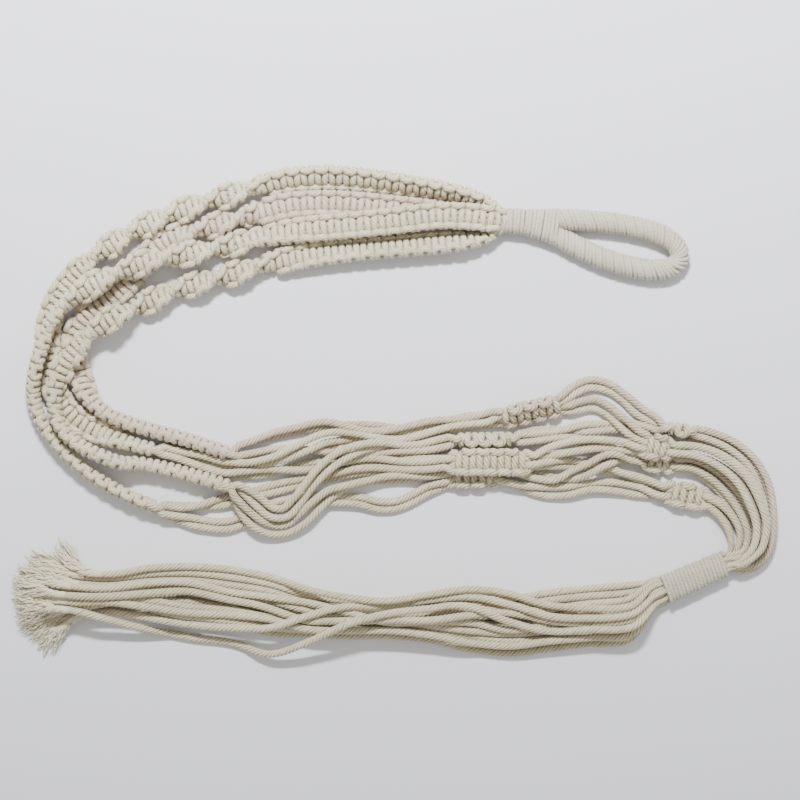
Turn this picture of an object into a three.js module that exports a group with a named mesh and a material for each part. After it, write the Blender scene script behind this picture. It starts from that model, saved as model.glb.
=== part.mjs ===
// Hanging macrame planter in soft cotton rope, folded up and laid down flat.
// Units are millimetres and +Z is up. The origin is on the floor, under the middle of the object.
// The hanger runs from the loop (right) along four knotted arms (left), back through the cradle
// that holds a pot (right), round a gathering wrap, and ends in a tassel (left).
import * as THREE from 'three';

// ---------------------------------------------------------------- driving dimensions
const CORD = 3.6;            // a cord, pressed a little by its neighbours
const GAP = 0.4;             // air between cords that touch
const FLOOR_GAP = 0.1;       // air under what lies on the floor
const CORD_STEP = 10;        // length of one straight facet of a cord's tube
const TASSEL_STEP = 8;       // the same for a tassel cord, which bends more
const SINNET_WIDTH = 12.8;   // across a sinnet: two filler cords and a knotting cord on each side
const SINNET_THICK = 7.0;    // through a sinnet
const FLAT_STEP = 9;         // length of one facet of a flat sinnet
const SPIRAL_STEP = 5.2;     // length of one facet of a twisting sinnet
const WRAP_WALL = 1.1;       // the whipping cord round the loop, the neck and the gather
const LOOP_CORE = 3.5;       // radius of the bundle inside the loop
const LOOP_STEP = 4;         // length of one facet round the loop
const SINNET_GAP = 1.6;        // between two sinnets of one arm, which do not lie square to each other
const JOINT_GAP = 2.6;       // room for the tassel and the loop to swing
const WRAP_HEIGHT = 11.4;    // of the neck and gather wraps, which lie flat on the floor

// ---------------------------------------------------------------- routes
const lerp = THREE.MathUtils.lerp;
const smoothstep = THREE.MathUtils.smoothstep;

// A row is [x, y, z, roll, wide, high]. Roll turns the section about the route, in degrees, and
// lifts its left edge; wide and high scale the section. They may be left out (0, 1 and as wide).
class Route extends THREE.CatmullRomCurve3 {
  constructor(rows) {
    super(rows.map(([x, y, z]) => new THREE.Vector3(x, y, z)), false, 'centripetal');
    this.rows = rows.map(([x, y, z, roll = 0, wide = 1, high = wide]) => [x, y, z, roll, wide, high]);
    this.arcLengthDivisions = 12 * (rows.length - 1);
  }

  // Roll, wide and high at the fraction u of the route's length.
  sectionAt(u) {
    const lengths = this.getLengths();
    const target = u * lengths.at(-1);
    let k = 0;
    while (k < this.rows.length - 2 && lengths[12 * (k + 1)] < target) k += 1;
    const share = (target - lengths[12 * k]) / (lengths[12 * (k + 1)] - lengths[12 * k]);
    return [3, 4, 5].map((column) => lerp(this.rows[k][column], this.rows[k + 1][column], share));
  }

  // The rows of the stretch between two distances from the start, in millimetres.
  stretch(from, to) {
    const length = this.getLength();
    const count = Math.ceil((to - from) / 2);
    return Array.from({ length: count + 1 }, (_, i) => {
      const u = lerp(from, to, i / count) / length;
      return [...this.getPointAt(u).toArray(), ...this.sectionAt(u)];
    });
  }

  // Frames that stay level, then roll and scale as the rows say.
  computeFrenetFrames(steps) {
    const frames = { tangents: [], normals: [], binormals: [] };
    for (let i = 0; i <= steps; i += 1) {
      const tangent = this.getTangentAt(i / steps);
      const side = new THREE.Vector3(0, 0, 1).cross(tangent).normalize();
      const rise = tangent.clone().cross(side);
      const [degrees, wide, high] = this.sectionAt(i / steps);
      const roll = THREE.MathUtils.degToRad(degrees);
      const left = side.clone().multiplyScalar(Math.cos(roll)).addScaledVector(rise, Math.sin(roll));
      const top = tangent.clone().cross(left);
      frames.tangents.push(tangent);
      frames.normals.push(left.multiplyScalar(wide));
      frames.binormals.push(top.multiplyScalar(high));
    }
    return frames;
  }
}

// The route through the rows, lifted wherever the turned section would reach into the floor.
function settle(rows, section) {
  const route = new Route(rows);
  const corners = section.getPoints();
  return new Route(route.stretch(0, route.getLength()).map(([x, y, z, degrees, wide, high]) => {
    const roll = THREE.MathUtils.degToRad(degrees);
    const across = wide * Math.sin(roll);
    const upward = high * Math.cos(roll);
    const depths = corners.map((corner) => -corner.x * across - corner.y * upward);
    return [x, y, Math.max(z, Math.max(...depths) + FLOOR_GAP), degrees, wide, high];
  }));
}

// ---------------------------------------------------------------- sections
function polygon(points) {
  return new THREE.Shape(points.map(([x, y]) => new THREE.Vector2(x, y)));
}

// An eight-sided block: wide by high, with its corners cut.
function blockSection(wide, high, cutX, cutY) {
  const [a, b] = [wide / 2, high / 2];
  return polygon([
    [a, -b + cutY], [a, b - cutY], [a - cutX, b], [-a + cutX, b],
    [-a, b - cutY], [-a, -b + cutY], [-a + cutX, -b], [a - cutX, -b],
  ]);
}

function roundSection(radius, sides) {
  const points = [];
  for (let i = 0; i < sides; i += 1) {
    const angle = ((i + 0.5) * 2 * Math.PI) / sides;
    points.push([radius * Math.cos(angle), radius * Math.sin(angle)]);
  }
  return polygon(points);
}

// A wrap's wall: the outline with the same outline, one wall smaller, taken out of it.
function wrapSection(outline) {
  const wall = outline(0);
  wall.holes.push(new THREE.Path(outline(WRAP_WALL).getPoints().reverse()));
  return wall;
}

const SECTION = {
  cord: roundSection(CORD / 2, 8),
  pair: blockSection(2 * CORD + 0.2, CORD, 1, 1),
  four: blockSection(2 * CORD, 2 * CORD, 1.2, 1.2),
  sinnet: blockSection(SINNET_WIDTH, SINNET_THICK, 3, 1.6),
  spiral: blockSection(SINNET_WIDTH - 0.8, SINNET_THICK, 3, 1.6),
};

// ---------------------------------------------------------------- building
const COTTON = { cotton: 0xdcd6c8, blush: 0xdccfc4, whipping: 0xddd8cb };
const hanger = new THREE.Group();

function addPiece(name, geometry, tint) {
  const material = new THREE.MeshStandardMaterial({ color: COTTON[tint], roughness: 0.95, metalness: 0 });
  const mesh = new THREE.Mesh(geometry, material);
  mesh.name = name;
  hanger.add(mesh);
}

function sweep(name, section, route, step, tint = 'cotton') {
  const steps = Math.max(1, Math.round(route.getLength() / step));
  addPiece(name, new THREE.ExtrudeGeometry(section, { steps, bevelEnabled: false, extrudePath: route }), tint);
}

// ---------------------------------------------------------------- loop and neck
// The bundle that the loop and the neck wrap hold, from the neck's mouth round and back again.
const loopRoute = new Route([
  [54.2, 97.2, 5.7, 0, 0.58], [66, 96.6, 5.7, 0, 0.62], [76, 95.6, 5.6, 0, 0.84], [86, 95.6, 5.4],
  [100, 94.6, 5.4], [112, 93.2, 5.4], [122, 91.2, 5.4], [132, 88, 5.4], [139, 83.4, 5.4, 0, 0.9],
  [141.8, 77.6, 5.4, 0, 0.86], [139, 72.6, 5.4, 0, 0.9], [131.5, 70.4, 5.4], [121, 71.2, 5.4],
  [110, 73.8, 5.4], [99, 77.7, 5.4], [87, 83.6, 5.4], [76, 88.9, 5.6, 0, 0.84], [66, 91.8, 5.7, 0, 0.62],
  [54.2, 92.8, 5.7, 0, 0.58],
]);
const NECK_COVER = 30.6;     // how far the loop's bundle runs from the neck's mouth to the loop's wrap
const loopLength = loopRoute.getLength();
sweep('loop_cord_bundle', roundSection(LOOP_CORE, 8), loopRoute, LOOP_STEP);
const loopOutline = (inset) => roundSection(LOOP_CORE + 0.6 + WRAP_WALL - inset, 8);
sweep('loop_wrap', wrapSection(loopOutline),
  new Route(loopRoute.stretch(NECK_COVER, loopLength - NECK_COVER)), LOOP_STEP, 'whipping');

const wrapOutline = (inset) => {
  const corner = 3 - 0.6 * inset;
  return blockSection(12 - 2 * inset, WRAP_HEIGHT - 2 * inset, corner, corner);
};
const neckRoute = new Route([[54.5, 95, 5.7, 0, 1, 1], [64, 94.3, 5.7, 0, 1.05, 1],
  [72, 93.1, 5.7, 0, 1.28, 1], [79.4, 92, 5.7, 0, 1.56, 1]]);
sweep('neck_wrap', wrapSection(wrapOutline), neckRoute, 2 * LOOP_STEP, 'whipping');

// ---------------------------------------------------------------- arms
// Each arm is a flat sinnet of square knots, a spiral sinnet of half knots and, past the fold,
// a flat sinnet again. In a spiral the roll falls by half a turn from one bulge to the next.
const ARMS = {
  a: {
    flat: [[51.6, 98.9, 6, -80, 0.3, 0.5], [45, 104, 6.4, -72, 0.7, 0.9], [34, 107.6, 6.4, -68],
      [20, 110.6, 6.4, -65], [2, 113.5, 6.2, -55], [-18.5, 116, 5.8, -45], [-38.5, 117, 5.6, -40],
      [-55, 115.6, 5.6, -40], [-68.3, 112.2, 5.8, -44]],
    spiral: [[-84, 107.5, 7, -180], [-95, 104.2, 7, -270], [-105.5, 100.8, 7, -360],
      [-115, 97.4, 7, -450], [-124, 93.4, 7, -540], [-133.3, 88.6, 7, -630], [-142, 83.2, 7, -720],
      [-150.5, 77.3, 7, -810], [-158, 70.7, 5.6, -880], [-164.6, 63.4, 3.7, -900]],
    lower: [[-170, 55.4, 3.7, -900], [-174, 44, 3.6, -900], [-175, 33, 3.6, -900], [-174, 22, 3.6, -900],
      [-172, 12, 3.6, -900], [-168, 3.6, 3.6, -900], [-162.8, -2.4, 3.6, -900], [-156, -7.4, 3.6, -900],
      [-148.6, -11, 3.6, -905], [-141.4, -13.6, 5.4, -950], [-132, -16.6, 6.4, -980],
      [-121.5, -19.4, 6.4, -985]],
  },
  b: {
    flat: [[51.6, 95, 3, 0, 0.3, 0.5], [44, 95.4, 3.6, 0, 0.72, 1], [34, 96.1, 3.6, 0, 0.86, 1],
      [20, 98.8, 3.6, 0, 0.96, 1], [0, 101, 3.6], [-20, 103, 3.6], [-40, 103.8, 3.6], [-56, 102.4, 3.6],
      [-68.8, 99.2, 3.8, 0]],
    spiral: [[-80, 95.8, 7, -90], [-90, 92.8, 7, -180], [-100, 90, 7, -270], [-110.4, 87.2, 5, -350],
      [-120, 82, 3.7, -360], [-128.4, 72.6, 3.7, -360], [-136, 62.8, 3.7, -360], [-144, 56, 3.7, -360],
      [-152.4, 50, 3.7, -360]],
    lower: [[-158.8, 43.2, 3.7, -360], [-162.2, 34.6, 3.7, -360, 0.9, 1],
      [-161.2, 25.6, 3.7, -360, 0.9, 1], [-159, 17.6, 3.7, -370, 0.94, 1], [-156.4, 10.6, 5, -410],
      [-151.6, 3.8, 6.3, -435], [-144.8, -1.6, 6.4, -440], [-135.4, -5.6, 6.4, -440],
      [-124, -9.2, 6.4, -440], [-112, -12.4, 6.4, -440], [-99, -16.2, 6.4, -442],
      [-84.5, -21, 6.4, -445]],
  },
  c: {
    flat: [[51.6, 95, 9.4, 0, 0.3, 0.5], [46.5, 95.4, 11, 0, 0.8, 1], [34, 96.6, 11.3], [20, 96.8, 11.3],
      [0, 94.4, 11.3], [-20, 92.4, 11.3], [-38, 90.8, 9.6, 4], [-57, 88.6, 6.4, 30],
      [-72.6, 85.6, 6.3, 56]],
    spiral: [[-80.5, 83.1, 7, 0], [-92, 80.9, 7.4, -90], [-103, 77.9, 11.2, -180], [-115, 76, 13.4, -270],
      [-127, 72.8, 14, -360], [-139, 68.2, 14, -450], [-151, 62.2, 14, -540], [-160, 56.4, 14, -610],
      [-167.4, 50.2, 14, -640]],
    lower: [[-173.2, 40, 14, -645], [-176.8, 30.6, 14, -650], [-179.8, 20, 13.2, -650],
      [-181.8, 9, 8.6, -650], [-179.8, -1.4, 6.5, -645], [-173.8, -12, 6.4, -640],
      [-166.8, -20.4, 6.4, -640], [-159, -27.6, 6.4, -640], [-148.6, -35.2, 6.4, -640],
      [-136, -42.2, 6.4, -640], [-121, -48.3, 6.4, -635]],
  },
  d: {
    flat: [[51.6, 91.1, 6, 80, 0.3, 0.5], [45, 86.8, 6.2, 70, 0.7, 0.9], [34, 84.6, 6, 55],
      [20, 83.4, 5.6, 40], [0, 81.8, 5.6, 40], [-20, 80.2, 5.6, 38], [-40, 78, 5, 25],
      [-54, 75.8, 4.6, 0], [-63.8, 73.6, 5.6, -40]],
    spiral: [[-80.5, 68.6, 7, -180], [-90.8, 65.8, 7, -270], [-100.5, 63.2, 7, -360],
      [-111.5, 59.8, 7, -450], [-122, 55.4, 7, -540], [-132.4, 50.6, 10, -630],
      [-138, 47.6, 13, -680], [-142.5, 45, 14, -720], [-151.4, 39, 14, -800], [-158.2, 32, 13, -880]],
    lower: [[-164.4, 24.4, 13.2, -905], [-168.2, 16.4, 14, -950], [-169.8, 8, 14, -985],
      [-169.6, 0, 14, -990], [-167, -8, 14, -990], [-162, -13.8, 14, -990], [-154.6, -18.8, 14, -990],
      [-146, -22.8, 13.8, -988], [-137, -26, 11.3, -985], [-128, -26.4, 7.6, -985],
      [-118, -28.4, 6.6, -985], [-108, -30.8, 6.6, -985], [-97, -33.8, 6.8, -985], [-84, -38, 7, -985]],
  },
};

// An arm's three sinnets are three stretches of one route, with a gap between each two.
for (const [arm, { flat, spiral, lower }] of Object.entries(ARMS)) {
  const tint = arm === 'b' ? 'blush' : 'cotton';
  const whole = settle([...flat, ...spiral, ...lower], SECTION.sinnet);
  const flatEnd = new Route(flat).getLength();
  const lowerStart = whole.getLength() - new Route(lower).getLength();
  const parts = [
    ['flat', 0, flatEnd, FLAT_STEP],
    ['spiral', flatEnd + SINNET_GAP, lowerStart - SINNET_GAP, SPIRAL_STEP],
    ['lower', lowerStart, whole.getLength(), FLAT_STEP],
  ];
  for (const [part, from, to, step] of parts) {
    const section = part === 'spiral' ? SECTION.spiral : SECTION.sinnet;
    sweep(`arm_${arm}_${part}_sinnet`, section, new Route(whole.stretch(from, to)), step, tint);
  }
}

// ---------------------------------------------------------------- cradle
// Every arm shares a knot with each of its neighbours, and the second row of knots is shifted
// by half again. Cords run in pairs between the arms and the two rows, then in fours.
const KNOTS = {
  upper_knot_1: [[52.2, -3.4, 6.7, 50], [81.5, 3.2, 6.7, 45]],
  upper_knot_2: [[30.4, -14.9, 6.4, 85], [57.4, -14.4, 6.4, 85]],
  upper_knot_3: [[28.8, -25.6, 11.2], [63.8, -25.8, 11.2]],
  upper_knot_4: [[28.8, -32.4, 3.6], [48.4, -32.4, 3.6]],
  lower_knot_1: [[134.8, -9.2, 6.4, 85], [145.4, -10.4, 6.4, 85]],
  lower_knot_2: [[124.2, -17.6, 11.2], [133.8, -19.2, 11.2]],
  lower_knot_3: [[137.4, -41.4, 3.6], [152.8, -44.2, 3.6]],
  lower_knot_4: [[125.8, -24.2, 3.6], [136.4, -26.2, 3.6]],
};
for (const [name, rows] of Object.entries(KNOTS)) {
  sweep(name, SECTION.sinnet, settle(rows, SECTION.sinnet), 2 * FLAT_STEP);
}

const PAIRS = {
  arm_b_to_knot_1: [[-82.4, -18.8, 6.4, 90], [-73, -15.6, 5, 70], [-62, -12.2, 3.4, 40], [-48, -9, 4, 90],
    [-34, -6.8, 4.1, 90], [-20, -8.2, 4.1, 90], [-6, -9, 4.1, 90], [8, -8.2, 4.1, 90],
    [20, -5.7, 4.1, 90], [34, -3.4, 4.1, 90], [44, -1.8, 4.6, 70], [50.6, -1.2, 5.6, 50]],
  arm_a_to_knot_1: [[-119.9, -17.3, 6.4, 90], [-111, -19.4, 4.4, 90], [-98, -22.8, 4.1, 90],
    [-87, -26.6, 4.1, 90], [-75, -27.1, 6, 80], [-64, -25.2, 9.8, 30], [-54, -21.8, 10.8, 0],
    [-45, -17.6, 11.2, 10], [-36, -13.8, 9, 60], [-24, -12.8, 4.1, 90], [-10, -13, 4.1, 90],
    [4, -12.7, 4.1, 90], [18, -10.4, 4.1, 90], [34, -7.6, 4.1, 90], [44, -6.6, 4.4, 80],
    [50.6, -5.6, 6, 50]],
  arm_b_to_knot_2: [[-83.4, -22.9, 6.4, 90], [-72, -21.6, 4.2, 90], [-60, -20.2, 4.1, 90],
    [-46, -19.6, 4.1, 90], [-32, -20, 4.1, 90], [-16, -21, 4.1, 90], [0, -21.2, 4.1, 90],
    [14, -20.6, 4.6, 90], [29.6, -16.8, 5.6, 85]],
  arm_d_to_knot_2: [[-82.6, -36, 8.4, 90], [-77, -39.4, 8.4, 60], [-69.4, -45.6, 7, 20],
    [-62.6, -51, 6, 0], [-56, -51, 6, 0], [-49.4, -44.6, 7.4, 0], [-42.4, -35.6, 9.8, 0],
    [-35, -27.8, 10.8, 10], [-27, -22.2, 11.6, 50], [-18, -18.6, 12, 90], [-9, -17.2, 8.6, 90],
    [1, -17, 4.8, 90], [10, -16.4, 4.2, 90], [20, -14.2, 4.6, 90], [29.6, -12.8, 5.6, 85]],
  arm_a_to_knot_3: [[-120.8, -21.3, 6.4, 90], [-111, -23.4, 4.4, 90], [-98, -27, 4.1, 90],
    [-87, -30.8, 4.1, 90], [-75, -31.6, 4.1, 90], [-60, -30.2, 4.1, 90], [-46, -28.2, 4.1, 90],
    [-30, -26.4, 4.1, 90], [-14, -25.2, 4.1, 90], [0, -25.2, 5, 90], [14, -24.8, 8, 90],
    [28, -23.7, 10.8, 90]],
  arm_c_to_knot_3: [[-119.1, -46.8, 6.4, 90], [-108, -48.2, 4.2, 90], [-97, -47.4, 4.1, 60],
    [-87, -45.8, 2, 0], [-77, -43.4, 2, 0], [-66, -40.4, 2, 0], [-55, -37.6, 2, 0],
    [-44, -35.2, 2, 0], [-32, -32.8, 3, 50], [-18, -30.2, 4.1, 90], [0, -29.4, 4.6, 90],
    [14, -28.8, 8, 90], [28, -27.8, 10.8, 90]],
  arm_d_to_knot_4: [[-83.2, -40.2, 8.4, 90], [-79.6, -45.6, 8.4, 50], [-75, -52.2, 6.6, 10],
    [-69, -57.2, 6, 0], [-62, -60, 3, 0], [-54.6, -59.4, 2, 0], [-47.4, -54.6, 4.4, 0],
    [-40.4, -47.6, 6.2, 0], [-33, -41.4, 7.6, 0], [-24.4, -37.6, 7.4, 50], [-13, -35, 4.1, 90],
    [0, -33.8, 4.1, 90], [14, -33.3, 4.1, 90], [28, -31, 4, 90]],
  arm_c_to_knot_4: [[-120.6, -50.8, 6.4, 90], [-108, -54.4, 4, 60], [-97, -57, 2, 0], [-86, -57.8, 2, 0],
    [-77, -55.2, 2, 0], [-69.6, -51.2, 2, 0], [-61, -47.8, 2, 0], [-50, -45.8, 2, 0], [-38, -45, 2, 0],
    [-28, -44.8, 2, 0], [-18, -45.6, 2, 0], [-9, -47.8, 2, 0], [-1, -47.6, 2, 0], [7, -44.6, 2, 0],
    [16, -39.8, 2, 10], [27.6, -35.8, 3.6, 70]],
  knot_1_to_knot_5: [[83.1, 6.4, 6.6, 45], [89.6, 10.8, 3.6, 30], [97, 13.4, 2], [106, 11.7, 2],
    [114, 6.4, 2], [121.5, -0.2, 2], [128.5, -4.4, 3.4, 40], [133.6, -6.8, 5.6, 85]],
  knot_1_to_knot_6: [[84.4, 0.2, 5, 55], [91.4, 2.2, 3.5, 30], [99, 3.2, 2.2], [105.6, 0.2, 5],
    [111.6, -5.2, 6.8], [117.6, -10.6, 9.6], [123.2, -14.5, 11.2, 70]],
  knot_2_to_knot_5: [[58.2, -12.4, 5.8, 85], [70, -10.6, 4.1, 90], [84, -9.7, 4, 70], [98, -8.8, 2.4, 20],
    [112, -8, 2], [123, -9.2, 2.6, 40], [133.6, -11.1, 5.2, 85]],
  knot_2_to_knot_8: [[58.2, -16.4, 5.8, 85], [70, -14.8, 4.1, 90], [84, -14.6, 4.1, 90],
    [97, -16.8, 4.1, 90], [109, -19.4, 4.1, 90], [118, -21.2, 4.1, 90], [125.2, -22.2, 4, 90]],
  knot_3_to_knot_6: [[65, -23.6, 11, 90], [75, -20.8, 9.4, 60], [87, -18, 10, 20], [99, -16.6, 10.2],
    [111, -17.4, 10.6], [118, -19, 11, 50], [123.4, -19.6, 11.2, 85]],
  knot_3_to_knot_7: [[65, -27.8, 10.8, 90], [76, -26.6, 7.4, 70], [86, -26.6, 2.8, 10], [96, -27.8, 2.1],
    [105, -29.4, 2.4, 20], [113, -31.4, 4, 90], [122, -34.4, 4, 90], [130, -37.2, 4, 90],
    [136.8, -39.5, 4, 90]],
  knot_4_to_knot_8: [[49.2, -30.5, 3.9, 90], [59, -31, 4, 90], [69, -32.6, 4, 90], [79, -34, 4, 70],
    [88, -32.4, 4.8, 20], [96, -29.2, 7], [103, -25.2, 8.4, 20], [108, -23.8, 8.8, 60],
    [114, -24.4, 4.8, 90], [125.2, -26.3, 4, 90]],
  knot_4_to_knot_7: [[49.2, -34.6, 3.9, 90], [59, -37.2, 3.4, 60], [68, -39.6, 2.4, 20], [76, -40.8, 2],
    [86, -40.4, 2], [96, -38.2, 2], [108, -38.2, 2], [120, -40.2, 2.2], [129, -42.4, 3.4, 60],
    [136.4, -43.7, 4, 90]],
};
for (const [name, rows] of Object.entries(PAIRS)) {
  sweep(`cords_${name}`, SECTION.pair, settle(rows, SECTION.pair), CORD_STEP);
}

// The gathering wrap, from its mouth on the cradle's side to its mouth on the tassel's side.
const GATHER_IN = [164.5, -76.25];
const GATHER_OUT = [134, -89.75];
const GATHER_HEIGHT = WRAP_HEIGHT / 2;
const GATHER_TAPER = 1.2;
const gatherLength = Math.hypot(GATHER_IN[0] - GATHER_OUT[0], GATHER_IN[1] - GATHER_OUT[1]);
const along = [(GATHER_IN[0] - GATHER_OUT[0]) / gatherLength, (GATHER_IN[1] - GATHER_OUT[1]) / gatherLength];

// The point that is out beyond one mouth, aside to the left of the way from tassel to cradle, and up.
function atMouth(mouth, out, aside, up) {
  return [mouth[0] + out * along[0] - aside * along[1], mouth[1] + out * along[1] + aside * along[0],
    GATHER_HEIGHT + up];
}

sweep('gather_wrap', wrapSection(wrapOutline),
  new Route([[...GATHER_OUT, GATHER_HEIGHT, 0, GATHER_TAPER, 1], [...GATHER_IN, GATHER_HEIGHT, 0, 1, 1]]),
  4 * LOOP_STEP, 'whipping');

const FOURS = {
  knot_5: { aside: -1.9, up: -1.9, rows: [[146.2, -10.6, 5.6], [156, -13, 4], [167, -18, 4],
    [176.5, -26, 4], [183, -37, 4], [185.8, -49.5, 4], [186.2, -61, 4], [184, -70.4, 4],
    [178.4, -77, 4, 0, 0.9], [171.4, -79, 3.9, 0, 0.55]] },
  knot_6: { aside: -1.9, up: 1.9, rows: [[134.8, -19.3, 11.4], [148, -20, 11.8], [160, -24.4, 11.8],
    [171, -33, 11.8], [178, -45, 11.8], [181.4, -57, 11.8], [179.6, -67.4, 11.8, 0, 0.9],
    [174.8, -73.6, 11, 0, 0.65], [170.4, -77, 9.4, 0, 0.48]] },
  knot_7: { aside: 1.9, up: -1.9, rows: [[153.8, -44.4, 4], [160, -47.6, 4], [165.6, -53, 4],
    [169.2, -60, 4], [169.6, -66.4, 4, 0, 0.75], [168, -71, 3.8, 0, 0.48]] },
  knot_8: { aside: 1.9, up: 1.9, rows: [[137.2, -26.4, 4], [148, -27.4, 4], [158, -32.8, 4],
    [167, -41.4, 4], [173.8, -51, 4], [177.6, -61, 4], [176.6, -67.6, 4.4, 0, 0.8],
    [173.8, -71.2, 5.8, 0, 0.58], [169.4, -72.8, 7.9, 0, 0.46]] },
};
for (const [name, { aside, up, rows }] of Object.entries(FOURS)) {
  const inside = [[2.4, GATHER_IN], [0, GATHER_IN], [-12, GATHER_IN], [0.4, GATHER_OUT]]
    .map(([out, mouth]) => [...atMouth(mouth, out, aside, up), 0, 0.48]);
  sweep(`cords_from_${name}`, SECTION.four, settle([...rows, ...inside], SECTION.four), CORD_STEP - 2);
}

// ---------------------------------------------------------------- tassel
// The cords in the order in which they come to lie on the floor and on each other. Mouth is where
// a cord leaves the wrap (aside and up from the middle), y its sideways place at the stations.
const STATIONS = [116, 96, 76, 56, 36, 16, -4, -24, -44, -64, -84, -104, -124, -144, -160];
const TASSEL = [
  { mouth: [-6.6, -3.2], tip: [-188, -104],
    y: [-115.3, -117.2, -119.8, -122, -119.8, -115.2, -113.2, -113.2,
      -112.4, -111.6, -106.5, -104.5, -100.5, -97.5, -98.5] },
  { mouth: [6.6, -3.2], tip: [-183, -78],
    y: [-87.7, -89.4, -91.6, -94.6, -93.2, -95.2, -96.2, -95.4, -93, -87, -83.7, -81.6, -82, -84, -83] },
  { mouth: [3.9, -3.2], tip: [-186, -82],
    y: [-91.6, -93.2, -95.4, -98.4, -97, -99, -100, -99.2, -97, -91, -87.8, -85.6, -86, -88, -87] },
  { mouth: [1.3, -3.2], tip: [-188, -91],
    y: [-98, -101, -103.5, -104, -103.5, -104, -104.4, -103.6,
      -102.5, -100, -95.5, -92, -92.5, -92, -91.4] },
  { mouth: [-1.3, -3.2], tip: [-187.5, -98],
    y: [-105, -108.5, -110.5, -112, -110, -108.6, -108.6, -107.8,
      -107.6, -106.2, -102.4, -99.5, -96.4, -93.4, -94.4] },
  { mouth: [-3.9, -3.2], tip: [-184, -107],
    y: [-111, -113.2, -115.6, -118, -115.6, -111.6, -110, -110,
      -110, -108.6, -104.4, -102, -104.4, -101.4, -102.4] },
  { mouth: [5.3, -0.5], tip: [-188, -86.5],
    y: [-94.5, -97, -99.5, -100.5, -99.5, -101.4, -101.9, -101,
      -100, -95.5, -91.5, -88, -88.5, -89.5, -88.5] },
  { mouth: [2.65, -0.5], tip: [-188.5, -95],
    y: [-101.5, -104.5, -107, -108, -107, -106.2, -106.4, -105.8,
      -105, -103.5, -99, -96, -95.5, -94.5, -94] },
  { mouth: [-2.65, -0.5], tip: [-186, -103],
    y: [-108.5, -112, -114.5, -115.5, -113, -110.4, -109.5, -109,
      -109, -107.6, -105, -102.5, -100, -99, -99] },
  { mouth: [0, -0.5], tip: [-187, -101],
    y: [-104.8, -107.6, -110.4, -111.6, -109.8, -107, -105, -103.5,
      -104, -103, -100, -98, -94.5, -95.5, -98.5] },
  { mouth: [-5.3, -0.5], tip: [-189.5, -93],
    y: [-111.4, -113.2, -115, -117.5, -115.8, -111.5, -109.2, -109.3,
      -108.7, -103.6, -101.6, -100.4, -97.2, -94.5, -95] },
  { mouth: [1.3, 2.2], tip: [-188.5, -84],
    y: [-98.6, -102, -107, -109.4, -105.6, -104.6, -105, -100.5,
      -96.2, -93.4, -90.6, -86, -86.4, -88.6, -88] },
  { mouth: [-1.3, 2.2], tip: [-189.5, -89],
    y: [-103.5, -106, -104.6, -101, -101.5, -103.6, -103.4, -104,
      -104.5, -98.5, -94.3, -90.3, -90.5, -91.6, -91.5] },
  { mouth: [0, 4.8], tip: [-180, -115],
    y: [-100.5, -103, -102, -96.6, -93.4, -94.8, -97.5, -97,
      -101.6, -107.8, -107.9, -106.6, -103.3, -100.6, -103.5] },
  { mouth: [4, 2.2], tip: [-172, -73.5],
    y: [-96.3, -98.4, -97.4, -91.9, -89.4, -91.9, -94.4, -92.6,
      -89.4, -83.4, -79.8, -78.2, -79, -82, -80.5] },
  { mouth: [-4, 2.2], tip: [-188, -97],
    y: [-107, -108.5, -109.7, -105, -97.2, -98.2, -99.9, -105,
      -114.8, -121.8, -116.4, -114, -109.6, -103.6, -99] },
];
const LAY_STEP = 2;          // how closely the cords are compared while they are laid
const LEAD_OUT = 20;         // over this length a cord comes down from the wrap's mouth
const MOUTH_SIZE = 0.55;     // a cord is squeezed in the wrap's mouth

// How far a laid cord may drop within a distance of a place where another holds it up.
function drop(distance) {
  const bend = 12;
  return distance < bend ? distance ** 2 / 60 : bend ** 2 / 60 + 0.4 * (distance - bend);
}

// Lays the cords one by one. Each rests on the floor or on the cords that are already there.
function layDown(cords) {
  const laid = [];
  const free = Math.round((0.8 * LEAD_OUT) / LAY_STEP);
  return cords.map(({ mouth: [aside, up], y, tip }) => {
    const leave = [-JOINT_GAP, -JOINT_GAP - 4].map((out) => atMouth(GATHER_OUT, out, aside, up));
    const plan = [...leave, ...STATIONS.map((x, k) => [x, y[k]]), tip];
    const flat = new Route(plan.map(([x, across]) => [x, across, 0]));
    const points = flat.getSpacedPoints(Math.round(flat.getLength() / LAY_STEP));
    const reach = CORD + GAP;
    const needed = points.map((point, i) => {
      let height = CORD / 2 + FLOOR_GAP;
      if (i < free) return height;
      for (const other of laid) {
        const gap = Math.hypot(other.x - point.x, other.y - point.y);
        if (gap < reach) height = Math.max(height, other.z + Math.sqrt(reach ** 2 - gap ** 2));
      }
      return height;
    });
    points.forEach((point, i) => {
      const rest = Math.max(...needed.map((height, k) => height - drop(LAY_STEP * Math.abs(i - k))));
      point.z = lerp(GATHER_HEIGHT + up, rest, smoothstep(i * LAY_STEP, 0, LEAD_OUT));
    });
    laid.push(...points.slice(free));
    return points;
  });
}

layDown(TASSEL).forEach((points, i) => {
  const rows = points.map(({ x, y, z }, k) => {
    const size = lerp(MOUTH_SIZE, 1, smoothstep(k * LAY_STEP, 4, 1.3 * LEAD_OUT));
    return [x, y, z, 0, size];
  });
  sweep(`tassel_cord_${i + 1}`, SECTION.cord, new Route(rows), TASSEL_STEP);
});

export default hanger;
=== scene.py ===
import math

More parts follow.
